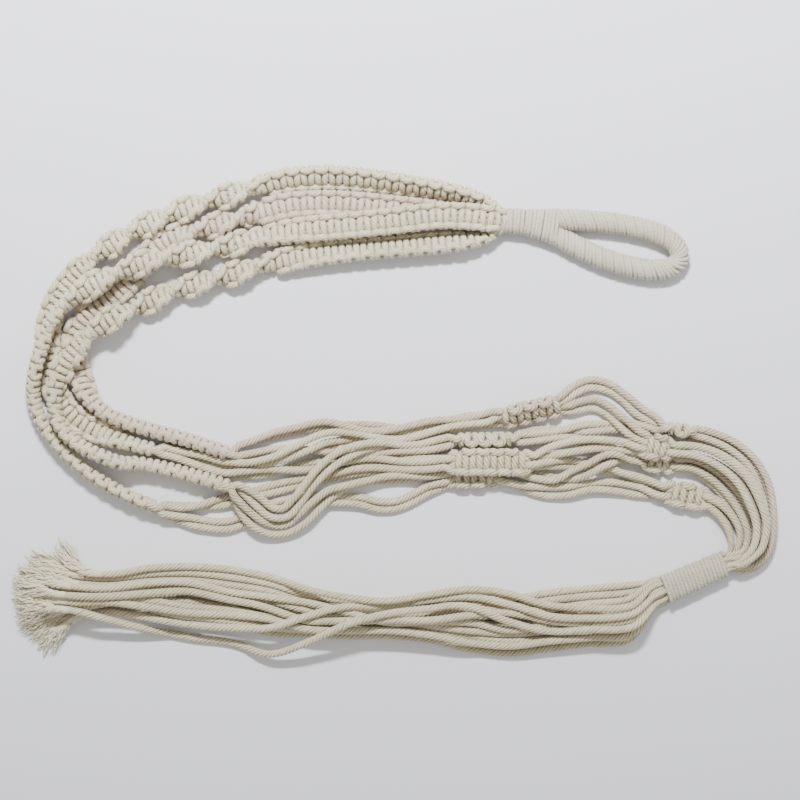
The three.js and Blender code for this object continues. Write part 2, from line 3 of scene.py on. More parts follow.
import bpy
import numpy as np
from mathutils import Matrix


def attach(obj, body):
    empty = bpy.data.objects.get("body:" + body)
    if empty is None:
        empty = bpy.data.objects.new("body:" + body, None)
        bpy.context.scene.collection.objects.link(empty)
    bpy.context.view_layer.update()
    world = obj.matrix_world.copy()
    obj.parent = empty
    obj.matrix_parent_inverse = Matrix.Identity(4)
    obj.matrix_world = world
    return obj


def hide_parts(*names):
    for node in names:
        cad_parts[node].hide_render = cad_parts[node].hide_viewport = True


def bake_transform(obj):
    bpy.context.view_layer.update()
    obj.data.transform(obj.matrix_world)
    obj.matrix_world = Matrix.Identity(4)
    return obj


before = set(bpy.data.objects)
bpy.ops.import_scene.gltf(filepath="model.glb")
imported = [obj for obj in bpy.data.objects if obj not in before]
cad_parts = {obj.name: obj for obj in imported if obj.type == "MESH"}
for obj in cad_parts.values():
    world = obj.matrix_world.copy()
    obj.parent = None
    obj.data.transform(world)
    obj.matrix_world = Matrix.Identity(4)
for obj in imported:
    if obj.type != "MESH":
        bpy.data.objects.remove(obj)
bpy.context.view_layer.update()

MM = 0.001
ROPE = 1.95                 # radius of a loose rope
KNOTTED = 1.76              # radius of a working cord, pressed by its knots
FILLER = 1.5                # radius of the cords inside a sinnet
LAY = 11.0                  # length in which a strand goes once round its rope
TURN = 1.9                  # from one turn of a winding to the next
HALF_KNOT = 3.58            # length of one half knot along a sinnet
CORD = 3.6                  # diameter of a cord's solid in the CAD model
GAP = 0.4                   # air between the CAD model's cords
FLOOR_GAP = 0.1             # air under its solids on the floor
SINNET_GAP = 1.6            # air between two sinnets of one arm
SINNET = (12.8, 7.0)        # width and thickness of a sinnet
NECK_COVER = 30.6           # from the neck's mouth, round the bundle, to the loop's wrap
FINE_STEP = 0.8             # from one ring of a loose rope or a winding to the next

# ---------------------------------------------------------------- camera
camera = bpy.data.objects.new("camera", bpy.data.cameras.new("camera"))
camera.data.lens = 85
camera.data.sensor_width = 36
camera.data.clip_start = 0.05
camera.data.clip_end = 10
camera.location = (0.0015, 0.00525, 0.951)
bpy.context.scene.collection.objects.link(camera)
bpy.context.scene.camera = camera


# ---------------------------------------------------------------- routes
def smoothstep(x, low, high):
    """Rises smoothly from 0 at low to 1 at high."""
    t = np.clip((x - low) / (high - low), 0, 1)
    return t * t * (3 - 2 * t)


def full_row(x, y, z, roll=0.0, wide=1.0, high=None):
    """A row with what it may leave out: no roll, no scale, and high the same as wide."""
    return [x, y, z, roll, wide, wide if high is None else high]


class Route:
    """A centripetal Catmull-Rom curve. Its rows are x, y, z, roll in degrees, wide and high. Roll
    turns the section about the curve and lifts its left edge; wide and high scale the section."""

    PER_SPAN = 12

    def __init__(self, rows):
        self.rows = np.array([full_row(*row) for row in rows], float)
        inner = self.rows[:, :3]
        points = np.vstack([2 * inner[0] - inner[1], inner, 2 * inner[-1] - inner[-2]])
        gap = np.sqrt(np.maximum(np.linalg.norm(np.diff(points, axis=0), axis=1), 1e-6))[:, None]
        before, here, after = gap[:-2], gap[1:-1], gap[2:]
        p0, p1, p2, p3 = points[:-3], points[1:-2], points[2:-1], points[3:]
        t1 = here * ((p1 - p0) / before - (p2 - p0) / (before + here) + (p2 - p1) / here)
        t2 = here * ((p2 - p1) / here - (p3 - p1) / (here + after) + (p3 - p2) / after)
        self.terms = (p1, t1, 3 * (p2 - p1) - 2 * t1 - t2, 2 * (p1 - p2) + t1 + t2)
        self.knots = np.linspace(0, len(inner) - 1, self.PER_SPAN * (len(inner) - 1) + 1)
        steps = np.linalg.norm(np.diff(self.curve(self.knots)[0], axis=0), axis=1)
        self.marks = np.concatenate([[0], np.cumsum(steps)])
        self.length = self.marks[-1]

    def curve(self, t):
        """Points and slopes at the curve's own parameter, which is a whole number at each row."""
        span = np.clip(t.astype(int), 0, len(self.rows) - 2)
        w = (t - span)[:, None]
        c0, c1, c2, c3 = (term[span] for term in self.terms)
        return ((c3 * w + c2) * w + c1) * w + c0, (3 * c3 * w + 2 * c2) * w + c1

    def at(self, s):
        """Points, unit tangents, roll in radians, wide and high at distances from the start."""
        s = np.asarray(s, float)
        inside = np.clip(s, 0, self.length)
        points, slopes = self.curve(np.interp(inside, self.marks, self.knots))
        tangents = slopes / np.linalg.norm(slopes, axis=1)[:, None]
        points = points + tangents * (s - inside)[:, None]
        spots = self.marks[::self.PER_SPAN]
        roll, wide, high = (np.interp(inside, spots, self.rows[:, k]) for k in (3, 4, 5))
        return points, tangents, np.radians(roll), wide, high

    def frames(self, s):
        """Points, tangents, and the section's left and top directions with its scale in them."""
        points, tangents, roll, wide, high = self.at(s)
        side = np.cross([0, 0, 1], tangents)
        side /= np.linalg.norm(side, axis=1)[:, None]
        rise = np.cross(tangents, side)
        left = side * np.cos(roll)[:, None] + rise * np.sin(roll)[:, None]
        top = np.cross(tangents, left)
        return points, tangents, left * wide[:, None], top * high[:, None]

    def stretch(self, start, end, step=2.0):
        """The rows between two distances from the start."""
        s = np.linspace(start, end, int(math.ceil((end - start) / step)) + 1)
        points, _, roll, wide, high = self.at(s)
        return np.column_stack([points, np.degrees(roll), wide, high])


def block_corners(wide, high, cut_x, cut_y):
    """The corners of an eight-sided block, as aside and up from its middle."""
    a, b = wide / 2, high / 2
    corners = [(a, b - cut_y), (a - cut_x, b)]
    return np.array([(i * x, j * y) for x, y in corners for i in (1, -1) for j in (1, -1)])


SINNET_CORNERS = block_corners(*SINNET, 3, 1.6)
PAIR_CORNERS = block_corners(2 * CORD + 0.2, CORD, 1, 1)
FOUR_CORNERS = block_corners(2 * CORD, 2 * CORD, 1.2, 1.2)


def settle(rows, corners):
    """The route through the rows, lifted wherever the turned section would reach into the floor."""
    whole = Route(rows)
    dense = whole.stretch(0, whole.length)
    roll = np.radians(dense[:, 3])[:, None]
    depth = -corners[:, 0] * dense[:, 4:5] * np.sin(roll) - corners[:, 1] * dense[:, 5:6] * np.cos(roll)
    dense[:, 2] = np.maximum(dense[:, 2], depth.max(axis=1) + FLOOR_GAP)
    return Route(dense)


def place(route, local):
    """World points of local ones, which are distance along, aside and up in the route's section."""
    local = np.asarray(local, float)
    points, _, left, top = route.frames(local[:, 0])
    return points + left * local[:, 1:2] + top * local[:, 2:3]


# ---------------------------------------------------------------- routes of this hanger
# A row is x, y, z, roll, wide and high, as Route takes it, and the last three may be left out.
LOOP = [
  [54.2, 97.2, 5.7, 0, 0.58], [66, 96.6, 5.7, 0, 0.62], [76, 95.6, 5.6, 0, 0.84], [86, 95.6, 5.4],
  [100, 94.6, 5.4], [112, 93.2, 5.4], [122, 91.2, 5.4], [132, 88, 5.4], [139, 83.4, 5.4, 0, 0.9],
  [141.8, 77.6, 5.4, 0, 0.86], [139, 72.6, 5.4, 0, 0.9], [131.5, 70.4, 5.4], [121, 71.2, 5.4],
  [110, 73.8, 5.4], [99, 77.7, 5.4], [87, 83.6, 5.4], [76, 88.9, 5.6, 0, 0.84], [66, 91.8, 5.7, 0, 0.62],
  [54.2, 92.8, 5.7, 0, 0.58],
]
NECK = [[54.5, 95, 5.7, 0, 1, 1], [64, 94.3, 5.7, 0, 1.05, 1],
  [72, 93.1, 5.7, 0, 1.28, 1], [79.4, 92, 5.7, 0, 1.56, 1]]
# The arms' sinnets, from the neck to the loose cords. Roll puts a sinnet on its edge or turns it over.
ARMS = {
  "a": {
    "flat": [[51.6, 98.9, 6, -80, 0.6, 0.7], [45, 104, 6.4, -72, 0.7, 0.9], [34, 107.6, 6.4, -68],
      [20, 110.6, 6.4, -65], [2, 113.5, 6.2, -55], [-18.5, 116, 5.8, -45], [-38.5, 117, 5.6, -40],
      [-55, 115.6, 5.6, -40], [-68.3, 112.2, 5.8, -44]],
    "spiral": [[-84, 107.5, 7, -180], [-95, 104.2, 7, -270], [-105.5, 100.8, 7, -360],
      [-115, 97.4, 7, -450], [-124, 93.4, 7, -540], [-133.3, 88.6, 7, -630], [-142, 83.2, 7, -720],
      [-150.5, 77.3, 7, -810], [-158, 70.7, 5.6, -880], [-164.6, 63.4, 3.7, -900]],
    "lower": [[-170, 55.4, 3.7, -900], [-174, 44, 3.6, -900], [-175, 33, 3.6, -900], [-174, 22, 3.6, -900],
      [-172, 12, 3.6, -900], [-168, 3.6, 3.6, -900], [-162.8, -2.4, 3.6, -900], [-156, -7.4, 3.6, -900],
      [-148.6, -11, 3.6, -905], [-141.4, -13.6, 5.4, -950], [-132, -16.6, 6.4, -980],
      [-121.5, -19.4, 6.4, -985]],
 },
  "b": {
    "flat": [[51.6, 95, 3, 0, 0.3, 0.5], [44, 95.4, 3.6, 0, 0.72, 1], [34, 96.1, 3.6, 0, 0.86, 1],
      [20, 98.8, 3.6, 0, 0.96, 1], [0, 101, 3.6], [-20, 103, 3.6], [-40, 103.8, 3.6], [-56, 102.4, 3.6],
      [-68.8, 99.2, 3.8, 0]],
    "spiral": [[-80, 95.8, 7, -90], [-90, 92.8, 7, -180], [-100, 90, 7, -270], [-110.4, 87.2, 5, -350],
      [-120, 82, 3.7, -360], [-128.4, 72.6, 3.7, -360], [-136, 62.8, 3.7, -360], [-144, 56, 3.7, -360],
      [-152.4, 50, 3.7, -360]],
    "lower": [[-158.8, 43.2, 3.7, -360], [-162.2, 34.6, 3.7, -360, 0.9, 1],
      [-161.2, 25.6, 3.7, -360, 0.9, 1], [-159, 17.6, 3.7, -370, 0.94, 1], [-156.4, 10.6, 5, -410],
      [-151.6, 3.8, 6.3, -435], [-144.8, -1.6, 6.4, -440], [-135.4, -5.6, 6.4, -440],
      [-124, -9.2, 6.4, -440], [-112, -12.4, 6.4, -440], [-99, -16.2, 6.4, -442],
      [-84.5, -21, 6.4, -445]],
 },
  "c": {
    "flat": [[51.6, 95, 9.6, 0, 0.8, 0.8], [46.5, 95.4, 11, 0, 1, 1], [34, 96.6, 11.3], [20, 96.8, 11.3],
      [0, 94.4, 11.3], [-20, 92.4, 11.3], [-38, 90.8, 9.6, 4], [-57, 88.6, 6.4, 30],
      [-72.6, 85.6, 6.3, 56]],
    "spiral": [[-80.5, 83.1, 7, 0], [-92, 80.9, 7.4, -90], [-103, 77.9, 11.2, -180], [-115, 76, 13.4, -270],
      [-127, 72.8, 14, -360], [-139, 68.2, 14, -450], [-151, 62.2, 14, -540], [-160, 56.4, 14, -610],
      [-167.4, 50.2, 14, -640]],
    "lower": [[-173.2, 40, 14, -645], [-176.8, 30.6, 14, -650], [-179.8, 20, 13.2, -650],
      [-181.8, 9, 8.6, -650], [-179.8, -1.4, 6.5, -645], [-173.8, -12, 6.4, -640],
      [-166.8, -20.4, 6.4, -640], [-159, -27.6, 6.4, -640], [-148.6, -35.2, 6.4, -640],
      [-136, -42.2, 6.4, -640], [-121, -48.3, 6.4, -635]],
 },
  "d": {
    "flat": [[51.6, 91.1, 6, 80, 0.6, 0.7], [45, 86.8, 6.2, 70, 0.7, 0.9], [34, 84.6, 6, 55],
      [20, 83.4, 5.6, 40], [0, 81.8, 5.6, 40], [-20, 80.2, 5.6, 38], [-40, 78, 5, 25],
      [-54, 75.8, 4.6, 0], [-63.8, 73.6, 5.6, -40]],
    "spiral": [[-80.5, 68.6, 7, -180], [-90.8, 65.8, 7, -270], [-100.5, 63.2, 7, -360],
      [-111.5, 59.8, 7, -450], [-122, 55.4, 7, -540], [-132.4, 50.6, 10, -630],
      [-138, 47.6, 13, -680], [-142.5, 45, 14, -720], [-151.4, 39, 14, -800], [-158.2, 32, 13, -880]],
    "lower": [[-164.4, 24.4, 13.2, -905], [-168.2, 16.4, 14, -950], [-169.8, 8, 14, -985],
      [-169.6, 0, 14, -990], [-167, -8, 14, -990], [-162, -13.8, 14, -990], [-154.6, -18.8, 14, -990],
      [-146, -22.8, 13.8, -988], [-137, -26, 11.3, -985], [-128, -26.4, 7.6, -985],
      [-118, -28.4, 6.6, -985], [-108, -30.8, 6.6, -985], [-97, -33.8, 6.8, -985], [-84, -38, 7, -985]],
 },
}
# The cradle's knots are short sinnets, four in the upper row and four in the lower one.
KNOTS = {
  "upper_knot_1": [[52.2, -3.4, 6.7, 50], [81.5, 3.2, 6.7, 45]],
  "upper_knot_2": [[30.4, -14.9, 6.4, 85], [57.4, -14.4, 6.4, 85]],
  "upper_knot_3": [[28.8, -25.6, 11.2], [63.8, -25.8, 11.2]],
  "upper_knot_4": [[28.8, -32.4, 3.6], [48.4, -32.4, 3.6]],
  "lower_knot_1": [[134.8, -9.2, 6.4, 85], [145.4, -10.4, 6.4, 85]],
  "lower_knot_2": [[124.2, -17.6, 11.2], [133.8, -19.2, 11.2]],
  "lower_knot_3": [[137.4, -41.4, 3.6], [152.8, -44.2, 3.6]],
  "lower_knot_4": [[125.8, -24.2, 3.6], [136.4, -26.2, 3.6]],
}
# Two cords side by side, or one above the other at a roll of 90. They lead from an arm to an upper
# knot, or on to a lower one. Here the lower knots 1 to 4 are numbered on, as 5 to 8.
PAIRS = {
  "arm_b_to_knot_1": [[-82.4, -18.8, 6.4, 90], [-73, -15.6, 5, 70], [-62, -12.2, 3.4, 40], [-48, -9, 4, 90],
    [-34, -6.8, 4.1, 90], [-20, -8.2, 4.1, 90], [-6, -9, 4.1, 90], [8, -8.2, 4.1, 90],
    [20, -5.7, 4.1, 90], [34, -3.4, 4.1, 90], [44, -1.8, 4.6, 70], [50.6, -1.2, 5.6, 50]],
  "arm_a_to_knot_1": [[-119.9, -17.3, 6.4, 90], [-111, -19.4, 4.4, 90], [-98, -22.8, 4.1, 90],
    [-87, -26.6, 4.1, 90], [-75, -27.1, 6, 80], [-64, -25.2, 9.8, 30], [-54, -21.8, 10.8, 0],
    [-45, -17.6, 11.2, 10], [-36, -13.8, 9, 60], [-24, -12.8, 4.1, 90], [-10, -13, 4.1, 90],
    [4, -12.7, 4.1, 90], [18, -10.4, 4.1, 90], [34, -7.6, 4.1, 90], [44, -6.6, 4.4, 80],
    [50.6, -5.6, 6, 50]],
  "arm_b_to_knot_2": [[-83.4, -22.9, 6.4, 90], [-72, -21.6, 4.2, 90], [-60, -20.2, 4.1, 90],
    [-46, -19.6, 4.1, 90], [-32, -20, 4.1, 90], [-16, -21, 4.1, 90], [0, -21.2, 4.1, 90],
    [14, -20.6, 4.6, 90], [29.6, -16.8, 5.6, 85]],
  "arm_d_to_knot_2": [[-82.6, -36, 8.4, 90], [-77, -39.4, 8.4, 60], [-69.4, -45.6, 7, 20],
    [-62.6, -51, 6, 0], [-56, -51, 6, 0], [-49.4, -44.6, 7.4, 0], [-42.4, -35.6, 9.8, 0],
    [-35, -27.8, 10.8, 10], [-27, -22.2, 11.6, 50], [-18, -18.6, 12, 90], [-9, -17.2, 8.6, 90],
    [1, -17, 4.8, 90], [10, -16.4, 4.2, 90], [20, -14.2, 4.6, 90], [29.6, -12.8, 5.6, 85]],
  "arm_a_to_knot_3": [[-120.8, -21.3, 6.4, 90], [-111, -23.4, 4.4, 90], [-98, -27, 4.1, 90],
    [-87, -30.8, 4.1, 90], [-75, -31.6, 4.1, 90], [-60, -30.2, 4.1, 90], [-46, -28.2, 4.1, 90],
    [-30, -26.4, 4.1, 90], [-14, -25.2, 4.1, 90], [0, -25.2, 5, 90], [14, -24.8, 8, 90],
    [28, -23.7, 10.8, 90]],
  "arm_c_to_knot_3": [[-119.1, -46.8, 6.4, 90], [-108, -48.2, 4.2, 90], [-97, -47.4, 4.1, 60],
    [-87, -45.8, 2, 0], [-77, -43.4, 2, 0], [-66, -40.4, 2, 0], [-55, -37.6, 2, 0],
    [-44, -35.2, 2, 0], [-32, -32.8, 3, 50], [-18, -30.2, 4.1, 90], [0, -29.4, 4.6, 90],
    [14, -28.8, 8, 90], [28, -27.8, 10.8, 90]],
  "arm_d_to_knot_4": [[-83.2, -40.2, 8.4, 90], [-79.6, -45.6, 8.4, 50], [-75, -52.2, 6.6, 10],
    [-69, -57.2, 6, 0], [-62, -60, 3, 0], [-54.6, -59.4, 2, 0], [-47.4, -54.6, 4.4, 0],
    [-40.4, -47.6, 6.2, 0], [-33, -41.4, 7.6, 0], [-24.4, -37.6, 7.4, 50], [-13, -35, 4.1, 90],
    [0, -33.8, 4.1, 90], [14, -33.3, 4.1, 90], [28, -31, 4, 90]],
  "arm_c_to_knot_4": [[-120.6, -50.8, 6.4, 90], [-108, -54.4, 4, 60], [-97, -57, 2, 0], [-86, -57.8, 2, 0],
    [-77, -55.2, 2, 0], [-69.6, -51.2, 2, 0], [-61, -47.8, 2, 0], [-50, -45.8, 2, 0], [-38, -45, 2, 0],
    [-28, -44.8, 2, 0], [-18, -45.6, 2, 0], [-9, -47.8, 2, 0], [-1, -47.6, 2, 0], [7, -44.6, 2, 0],
    [16, -39.8, 2, 10], [27.6, -35.8, 3.6, 70]],
  "knot_1_to_knot_5": [[83.1, 6.4, 6.6, 45], [89.6, 10.8, 3.6, 30], [97, 13.4, 2], [106, 11.7, 2],
    [114, 6.4, 2], [121.5, -0.2, 2], [128.5, -4.4, 3.4, 40], [133.6, -6.8, 5.6, 85]],
  "knot_1_to_knot_6": [[84.4, 0.2, 5, 55], [91.4, 2.2, 3.5, 30], [99, 3.2, 2.2], [105.6, 0.2, 5],
    [111.6, -5.2, 6.8], [117.6, -10.6, 9.6], [123.2, -14.5, 11.2, 70]],
  "knot_2_to_knot_5": [[58.2, -12.4, 5.8, 85], [70, -10.6, 4.1, 90], [84, -9.7, 4, 70], [98, -8.8, 2.4, 20],
    [112, -8, 2], [123, -9.2, 2.6, 40], [133.6, -11.1, 5.2, 85]],
  "knot_2_to_knot_8": [[58.2, -16.4, 5.8, 85], [70, -14.8, 4.1, 90], [84, -14.6, 4.1, 90],
    [97, -16.8, 4.1, 90], [109, -19.4, 4.1, 90], [118, -21.2, 4.1, 90], [125.2, -22.2, 4, 90]],
  "knot_3_to_knot_6": [[65, -23.6, 11, 90], [75, -20.8, 9.4, 60], [87, -18, 10, 20], [99, -16.6, 10.2],
    [111, -17.4, 10.6], [118, -19, 11, 50], [123.4, -19.6, 11.2, 85]],
  "knot_3_to_knot_7": [[65, -27.8, 10.8, 90], [76, -26.6, 7.4, 70], [86, -26.6, 2.8, 10], [96, -27.8, 2.1],
    [105, -29.4, 2.4, 20], [113, -31.4, 4, 90], [122, -34.4, 4, 90], [130, -37.2, 4, 90],
    [136.8, -39.5, 4, 90]],
  "knot_4_to_knot_8": [[49.2, -30.5, 3.9, 90], [59, -31, 4, 90], [69, -32.6, 4, 90], [79, -34, 4, 70],
    [88, -32.4, 4.8, 20], [96, -29.2, 7], [103, -25.2, 8.4, 20], [108, -23.8, 8.8, 60],
    [114, -24.4, 4.8, 90], [125.2, -26.3, 4, 90]],
  "knot_4_to_knot_7": [[49.2, -34.6, 3.9, 90], [59, -37.2, 3.4, 60], [68, -39.6, 2.4, 20], [76, -40.8, 2],
    [86, -40.4, 2], [96, -38.2, 2], [108, -38.2, 2], [120, -40.2, 2.2], [129, -42.4, 3.4, 60],
    [136.4, -43.7, 4, 90]],
}
# The middles of the gathering wrap's two mouths, and their height.
GATHER_IN = np.array([164.5, -76.25])
GATHER_OUT = np.array([134, -89.75])
GATHER_HEIGHT = 5.7
# Four cords from a lower knot to the gathering wrap; aside and up say where in it they lie.
FOURS = {
  "knot_5": {"aside": -1.9, "up": -1.9, "rows": [[146.2, -10.6, 5.6], [156, -13, 4], [167, -18, 4],
    [176.5, -26, 4], [183, -37, 4], [185.8, -49.5, 4], [186.2, -61, 4], [184, -70.4, 4],
    [178.4, -77, 4, 0, 0.9], [171.4, -79, 3.9, 0, 0.55]]},
  "knot_6": {"aside": -1.9, "up": 1.9, "rows": [[134.8, -19.3, 11.4], [148, -20, 11.8], [160, -24.4, 11.8],
    [171, -33, 11.8], [178, -45, 11.8], [181.4, -57, 11.8], [179.6, -67.4, 11.8, 0, 0.9],
    [174.8, -73.6, 11, 0, 0.65], [170.4, -77, 9.4, 0, 0.48]]},
  "knot_7": {"aside": 1.9, "up": -1.9, "rows": [[153.8, -44.4, 4], [160, -47.6, 4], [165.6, -53, 4],
    [169.2, -60, 4], [169.6, -66.4, 4, 0, 0.75], [168, -71, 3.8, 0, 0.48]]},
  "knot_8": {"aside": 1.9, "up": 1.9, "rows": [[137.2, -26.4, 4], [148, -27.4, 4], [158, -32.8, 4],
    [167, -41.4, 4], [173.8, -51, 4], [177.6, -61, 4], [176.6, -67.6, 4.4, 0, 0.8],
    [173.8, -71.2, 5.8, 0, 0.58], [169.4, -72.8, 7.9, 0, 0.46]]},
}
# A tassel cord's place in the wrap's mouth, aside and up; its y at each station's x; and its tip.
STATIONS = [116, 96, 76, 56, 36, 16, -4, -24, -44, -64, -84, -104, -124, -144, -160]
TASSEL = [
  {"mouth": [-6.6, -3.2], "tip": [-188, -104],
    "y": [-115.3, -117.2, -119.8, -122, -119.8, -115.2, -113.2, -113.2,
      -112.4, -111.6, -106.5, -104.5, -100.5, -97.5, -98.5]},
  {"mouth": [6.6, -3.2], "tip": [-183, -78],
    "y": [-87.7, -89.4, -91.6, -94.6, -93.2, -95.2, -96.2, -95.4, -93, -87, -83.7, -81.6, -82, -84, -83]},
  {"mouth": [3.9, -3.2], "tip": [-186, -82],
    "y": [-91.6, -93.2, -95.4, -98.4, -97, -99, -100, -99.2, -97, -91, -87.8, -85.6, -86, -88, -87]},
  {"mouth": [1.3, -3.2], "tip": [-188, -91],
    "y": [-98, -101, -103.5, -104, -103.5, -104, -104.4, -103.6,
      -102.5, -100, -95.5, -92, -92.5, -92, -91.4]},
  {"mouth": [-1.3, -3.2], "tip": [-187.5, -98],
    "y": [-105, -108.5, -110.5, -112, -110, -108.6, -108.6, -107.8,
      -107.6, -106.2, -102.4, -99.5, -96.4, -93.4, -94.4]},
  {"mouth": [-3.9, -3.2], "tip": [-184, -107],
    "y": [-111, -113.2, -115.6, -118, -115.6, -111.6, -110, -110,
      -110, -108.6, -104.4, -102, -104.4, -101.4, -102.4]},
  {"mouth": [5.3, -0.5], "tip": [-188, -86.5],
    "y": [-94.5, -97, -99.5, -100.5, -99.5, -101.4, -101.9, -101,
      -100, -95.5, -91.5, -88, -88.5, -89.5, -88.5]},
  {"mouth": [2.65, -0.5], "tip": [-188.5, -95],
    "y": [-101.5, -104.5, -107, -108, -107, -106.2, -106.4, -105.8,
      -105, -103.5, -99, -96, -95.5, -94.5, -94]},
  {"mouth": [-2.65, -0.5], "tip": [-186, -103],
    "y": [-108.5, -112, -114.5, -115.5, -113, -110.4, -109.5, -109,
      -109, -107.6, -105, -102.5, -100, -99, -99]},
  {"mouth": [0, -0.5], "tip": [-187, -101],
    "y": [-104.8, -107.6, -110.4, -111.6, -109.8, -107, -105, -103.5,
      -104, -103, -100, -98, -94.5, -95.5, -98.5]},
  {"mouth": [-5.3, -0.5], "tip": [-189.5, -93],
    "y": [-111.4, -113.2, -115, -117.5, -115.8, -111.5, -109.2, -109.3,
      -108.7, -103.6, -101.6, -100.4, -97.2, -94.5, -95]},
  {"mouth": [1.3, 2.2], "tip": [-188.5, -84],
    "y": [-98.6, -102, -107, -109.4, -105.6, -104.6, -105, -100.5,
      -96.2, -93.4, -90.6, -86, -86.4, -88.6, -88]},
  {"mouth": [-1.3, 2.2], "tip": [-189.5, -89],
    "y": [-103.5, -106, -104.6, -101, -101.5, -103.6, -103.4, -104,
      -104.5, -98.5, -94.3, -90.3, -90.5, -91.6, -91.5]},
  {"mouth": [0, 4.8], "tip": [-180, -115],
    "y": [-100.5, -103, -102, -96.6, -93.4, -94.8, -97.5, -97,
      -101.6, -107.8, -107.9, -106.6, -103.3, -100.6, -103.5]},
  {"mouth": [4, 2.2], "tip": [-172, -73.5],
    "y": [-96.3, -98.4, -97.4, -91.9, -89.4, -91.9, -94.4, -92.6,
      -89.4, -83.4, -79.8, -78.2, -79, -82, -80.5]},
  {"mouth": [-4, 2.2], "tip": [-188, -97],
    "y": [-107, -108.5, -109.7, -105, -97.2, -98.2, -99.9, -105,
      -114.8, -121.8, -116.4, -114, -109.6, -103.6, -99]},
]


# ---------------------------------------------------------------- materials
def cotton(name, light, dark, fineness=1.0):
    """Twisted cotton: fine fibres along the strands, painted shade in the grooves and where cords meet, soft
    sheen.
    """
    material = bpy.data.materials.new(name)
    material.use_nodes = True
    nodes, links = material.node_tree.nodes, material.node_tree.links
    shader = nodes["Principled BSDF"]
    shader.inputs["Roughness"].default_value = 0.92
    shader.inputs["Specular IOR Level"].default_value = 0.2
    shader.inputs["Sheen Weight"].default_value = 0.35
    shader.inputs["Sheen Roughness"].default_value = 0.5

    def attribute(label):
        node = nodes.new("ShaderNodeAttribute")
        node.attribute_name = label
        return node

    def noise(scale, detail, vector):
        node = nodes.new("ShaderNodeTexNoise")
        node.inputs["Scale"].default_value = scale
        node.inputs["Detail"].default_value = detail
        links.new(vector, node.inputs["Vector"])
        return node.outputs["Fac"]

    def remap(value, low, high):
        node = nodes.new("ShaderNodeMapRange")
        node.inputs["From Min"].default_value = 0.25
        node.inputs["From Max"].default_value = 0.75
        node.inputs["To Min"].default_value = low
        node.inputs["To Max"].default_value = high
        links.new(value, node.inputs["Value"])
        return node.outputs["Result"]

    def math_node(operation, a, b):
        node = nodes.new("ShaderNodeMath")
        node.operation = operation
        for socket, value in zip(node.inputs, (a, b)):
            if isinstance(value, (int, float)):
                socket.default_value = value
            else:
                links.new(value, socket)
        return node.outputs["Value"]

    # Fibres and yarns are noise that is drawn out along the rope, in its own lay.
    mapping = nodes.new("ShaderNodeMapping")
    mapping.inputs["Scale"].default_value = (1, 1, 0.12)
    links.new(attribute("lay").outputs["Vector"], mapping.inputs["Vector"])
    fibres = noise(3.2 * fineness, 3, mapping.outputs["Vector"])
    yarns = noise(1.3 * fineness, 1, mapping.outputs["Vector"])
    patches = noise(38, 2, nodes.new("ShaderNodeTexCoord").outputs["Object"])

    # Painted shade: the surface attribute for grooves and contacts pulls the colour towards the dark one;
    # fibres, patches, tone and yarns are the cotton's own variation.
    shade = math_node("MULTIPLY", attribute("painted_shade").outputs["Fac"], 0.8)
    for part in (remap(fibres, 0.3, -0.26), remap(patches, 0.12, -0.08), attribute("tone").outputs["Fac"],
                 remap(yarns, 0.08, -0.08)):
        shade = math_node("ADD", shade, part)
    mix = nodes.new("ShaderNodeMix")
    mix.data_type = "RGBA"
    mix.clamp_factor = True
    mix.inputs["A"].default_value = (*light, 1)
    mix.inputs["B"].default_value = (*dark, 1)
    links.new(shade, mix.inputs["Factor"])
    links.new(mix.outputs["Result"], shader.inputs["Base Color"])

    bump = nodes.new("ShaderNodeBump")
    bump.inputs["Strength"].default_value = 0.7
    bump.inputs["Distance"].default_value = 0.00035
    links.new(math_node("ADD", fibres, yarns), bump.inputs["Height"])
    links.new(bump.outputs["Normal"], shader.inputs["Normal"])
    return material


# The dark colour serves the darker fibres and the painted shade in grooves and contacts.
MATERIALS = {
    "cotton": cotton("cotton", (0.72, 0.655, 0.485), (0.225, 0.165, 0.07)),
    "blush_cotton": cotton("blush_cotton", (0.678, 0.58, 0.462), (0.24, 0.165, 0.085)),
    "whipping": cotton("whipping", (0.66, 0.61, 0.51), (0.27, 0.205, 0.10), 1.6),
}


# ---------------------------------------------------------------- ropes
def carried_frames(centres):
    """Unit tangents of a line of points, and a normal that is carried along it without twist."""
    tangents = np.gradient(centres, axis=0)
    tangents /= np.linalg.norm(tangents, axis=1)[:, None]
    start = np.cross(tangents[0], [0.0, 0.0, 1.0])
    if np.linalg.norm(start) < 0.1:
        start = np.cross(tangents[0], [0.0, 1.0, 0.0])
    normals = np.empty_like(centres)
    normal = start / np.linalg.norm(start)
    for i, tangent in enumerate(tangents):
        normal = normal - tangent * (normal @ tangent)
        normal /= math.sqrt(normal @ normal)
        normals[i] = normal
    return tangents, normals


def tube_faces(count, sides):
    """Quads between the rings of a tube, and triangles from its end rings to the two points that
    come after them, which are the middles of its ends."""
    ring, corner = np.meshgrid(np.arange(count - 1), np.arange(sides), indexing="ij")
    here = ring * sides + corner
    beside = ring * sides + (corner + 1) % sides
    quads = np.stack([here, beside, beside + sides, here + sides], axis=-1).reshape(-1, 4)
    ends = np.arange(sides)
    following = (ends + 1) % sides
    last = (count - 1) * sides
    first_cap = np.stack([np.full(sides, count * sides), following, ends], axis=-1)
    last_cap = np.stack([np.full(sides, count * sides + 1), last + ends, last + following], axis=-1)
    return quads, np.vstack([first_cap, last_cap])


